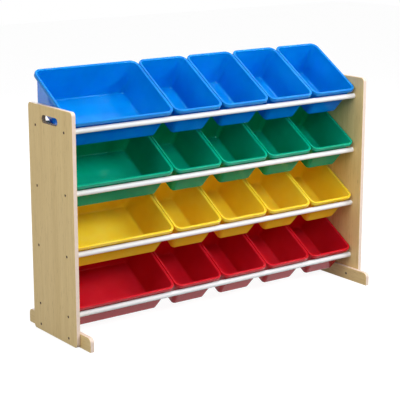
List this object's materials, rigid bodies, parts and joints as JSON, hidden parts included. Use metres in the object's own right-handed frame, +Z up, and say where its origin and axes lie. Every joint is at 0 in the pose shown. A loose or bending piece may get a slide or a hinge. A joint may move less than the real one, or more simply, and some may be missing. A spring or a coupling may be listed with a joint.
{
  "type": "toy storage organizer with bins",
  "caption": "Toy storage organizer: board side panels on feet, white steel tubes across in tiers, and tilted plastic bins that lift off or tip up.",
  "frame": {"origin": "on the floor, midway between the two side panels and midway between the front and rear ends of the feet", "axes": "+X to the right along the tubes, +Y to the rear, +Z up"},
  "size_m": [1.281, 0.402, 0.8957],
  "materials": {
    "board": "satin",
    "tube_enamel": "gloss",
    "plug_plastic": "matte",
    "fasteners": "satin",
    "blue_plastic": "gloss",
    "green_plastic": "gloss",
    "yellow_plastic": "gloss",
    "red_plastic": "gloss"
  },
  "bodies": {
    "frame": {"left_side_panel": "board", "right_side_panel": "board", "left_foot": "board", "right_foot": "board", "red_tier_front_tube": "tube_enamel", "red_tier_rear_tube": "tube_enamel", "yellow_tier_front_tube": "tube_enamel", "yellow_tier_rear_tube": "tube_enamel", "green_tier_front_tube": "tube_enamel", "green_tier_rear_tube": "tube_enamel", "blue_tier_front_tube": "tube_enamel", "blue_tier_rear_tube": "tube_enamel", "tube_end_plugs": "plug_plastic", "tube_screws": "fasteners", "foot_bolts": "fasteners", "foot_sleeve_nuts": "fasteners"},
    "red_double_bin": {"red_double_bin": "red_plastic"},
    "red_small_bin_1": {"red_small_bin_1": "red_plastic"},
    "red_small_bin_2": {"red_small_bin_2": "red_plastic"},
    "red_small_bin_3": {"red_small_bin_3": "red_plastic"},
    "red_small_bin_4": {"red_small_bin_4": "red_plastic"},
    "yellow_double_bin": {"yellow_double_bin": "yellow_plastic"},
    "yellow_small_bin_1": {"yellow_small_bin_1": "yellow_plastic"},
    "yellow_small_bin_2": {"yellow_small_bin_2": "yellow_plastic"},
    "yellow_small_bin_3": {"yellow_small_bin_3": "yellow_plastic"},
    "yellow_small_bin_4": {"yellow_small_bin_4": "yellow_plastic"},
    "green_double_bin": {"green_double_bin": "green_plastic"},
    "green_small_bin_1": {"green_small_bin_1": "green_plastic"},
    "green_small_bin_2": {"green_small_bin_2": "green_plastic"},
    "green_small_bin_3": {"green_small_bin_3": "green_plastic"},
    "green_small_bin_4": {"green_small_bin_4": "green_plastic"},
    "blue_double_bin": {"blue_double_bin": "blue_plastic"},
    "blue_small_bin_1": {"blue_small_bin_1": "blue_plastic"},
    "blue_small_bin_2": {"blue_small_bin_2": "blue_plastic"},
    "blue_small_bin_3": {"blue_small_bin_3": "blue_plastic"},
    "blue_small_bin_4": {"blue_small_bin_4": "blue_plastic"}
  },
  "joints": [
    {"name": "red_double_bin_tip", "type": "hinge", "parent": "frame", "child": "red_double_bin", "pos_m": [-0.4166, 0.0945, 0.097], "axis": [-1, 0, 0], "range_deg": [0, 32]},
    {"name": "red_small_bin_1_tip", "type": "hinge", "parent": "frame", "child": "red_small_bin_1", "pos_m": [-0.10405, 0.0945, 0.097], "axis": [-1, 0, 0], "range_deg": [0, 32]},
    {"name": "red_small_bin_2_tip", "type": "hinge", "parent": "frame", "child": "red_small_bin_2", "pos_m": [0.10425, 0.0945, 0.097], "axis": [-1, 0, 0], "range_deg": [0, 32]},
    {"name": "red_small_bin_3_tip", "type": "hinge", "parent": "frame", "child": "red_small_bin_3", "pos_m": [0.31255, 0.0945, 0.097], "axis": [-1, 0, 0], "range_deg": [0, 32]},
    {"name": "red_small_bin_4_tip", "type": "hinge", "parent": "frame", "child": "red_small_bin_4", "pos_m": [0.52085, 0.0945, 0.097], "axis": [-1, 0, 0], "range_deg": [0, 32]},
    {"name": "yellow_double_bin_tip", "type": "hinge", "parent": "frame", "child": "yellow_double_bin", "pos_m": [-0.4166, 0.0945, 0.304], "axis": [-1, 0, 0], "range_deg": [0, 32]},
    {"name": "yellow_small_bin_1_tip", "type": "hinge", "parent": "frame", "child": "yellow_small_bin_1", "pos_m": [-0.10405, 0.0945, 0.304], "axis": [-1, 0, 0], "range_deg": [0, 32]},
    {"name": "yellow_small_bin_2_tip", "type": "hinge", "parent": "frame", "child": "yellow_small_bin_2", "pos_m": [0.10425, 0.0945, 0.304], "axis": [-1, 0, 0], "range_deg": [0, 32]},
    {"name": "yellow_small_bin_3_tip", "type": "hinge", "parent": "frame", "child": "yellow_small_bin_3", "pos_m": [0.31255, 0.0945, 0.304], "axis": [-1, 0, 0], "range_deg": [0, 32]},
    {"name": "yellow_small_bin_4_tip", "type": "hinge", "parent": "frame", "child": "yellow_small_bin_4", "pos_m": [0.52085, 0.0945, 0.304], "axis": [-1, 0, 0], "range_deg": [0, 32]},
    {"name": "green_double_bin_tip", "type": "hinge", "parent": "frame", "child": "green_double_bin", "pos_m": [-0.4166, 0.0945, 0.511], "axis": [-1, 0, 0], "range_deg": [0, 32]},
    {"name": "green_small_bin_1_tip", "type": "hinge", "parent": "frame", "child": "green_small_bin_1", "pos_m": [-0.10405, 0.0945, 0.511], "axis": [-1, 0, 0], "range_deg": [0, 32]},
    {"name": "green_small_bin_2_tip", "type": "hinge", "parent": "frame", "child": "green_small_bin_2", "pos_m": [0.10425, 0.0945, 0.511], "axis": [-1, 0, 0], "range_deg": [0, 32]},
    {"name": "green_small_bin_3_tip", "type": "hinge", "parent": "frame", "child": "green_small_bin_3", "pos_m": [0.31255, 0.0945, 0.511], "axis": [-1, 0, 0], "range_deg": [0, 32]},
    {"name": "green_small_bin_4_tip", "type": "hinge", "parent": "frame", "child": "green_small_bin_4", "pos_m": [0.52085, 0.0945, 0.511], "axis": [-1, 0, 0], "range_deg": [0, 32]},
    {"name": "blue_double_bin_lift", "type": "slide", "parent": "frame", "child": "blue_double_bin", "axis": [0, -0.5299, 0.848], "range_m": [0, 0.18]},
    {"name": "blue_small_bin_1_lift", "type": "slide", "parent": "frame", "child": "blue_small_bin_1", "axis": [0, -0.5299, 0.848], "range_m": [0, 0.18]},
    {"name": "blue_small_bin_2_lift", "type": "slide", "parent": "frame", "child": "blue_small_bin_2", "axis": [0, -0.5299, 0.848], "range_m": [0, 0.18]},
    {"name": "blue_small_bin_3_lift", "type": "slide", "parent": "frame", "child": "blue_small_bin_3", "axis": [0, -0.5299, 0.848], "range_m": [0, 0.18]},
    {"name": "blue_small_bin_4_lift", "type": "slide", "parent": "frame", "child": "blue_small_bin_4", "axis": [0, -0.5299, 0.848], "range_m": [0, 0.18]}
  ]
}
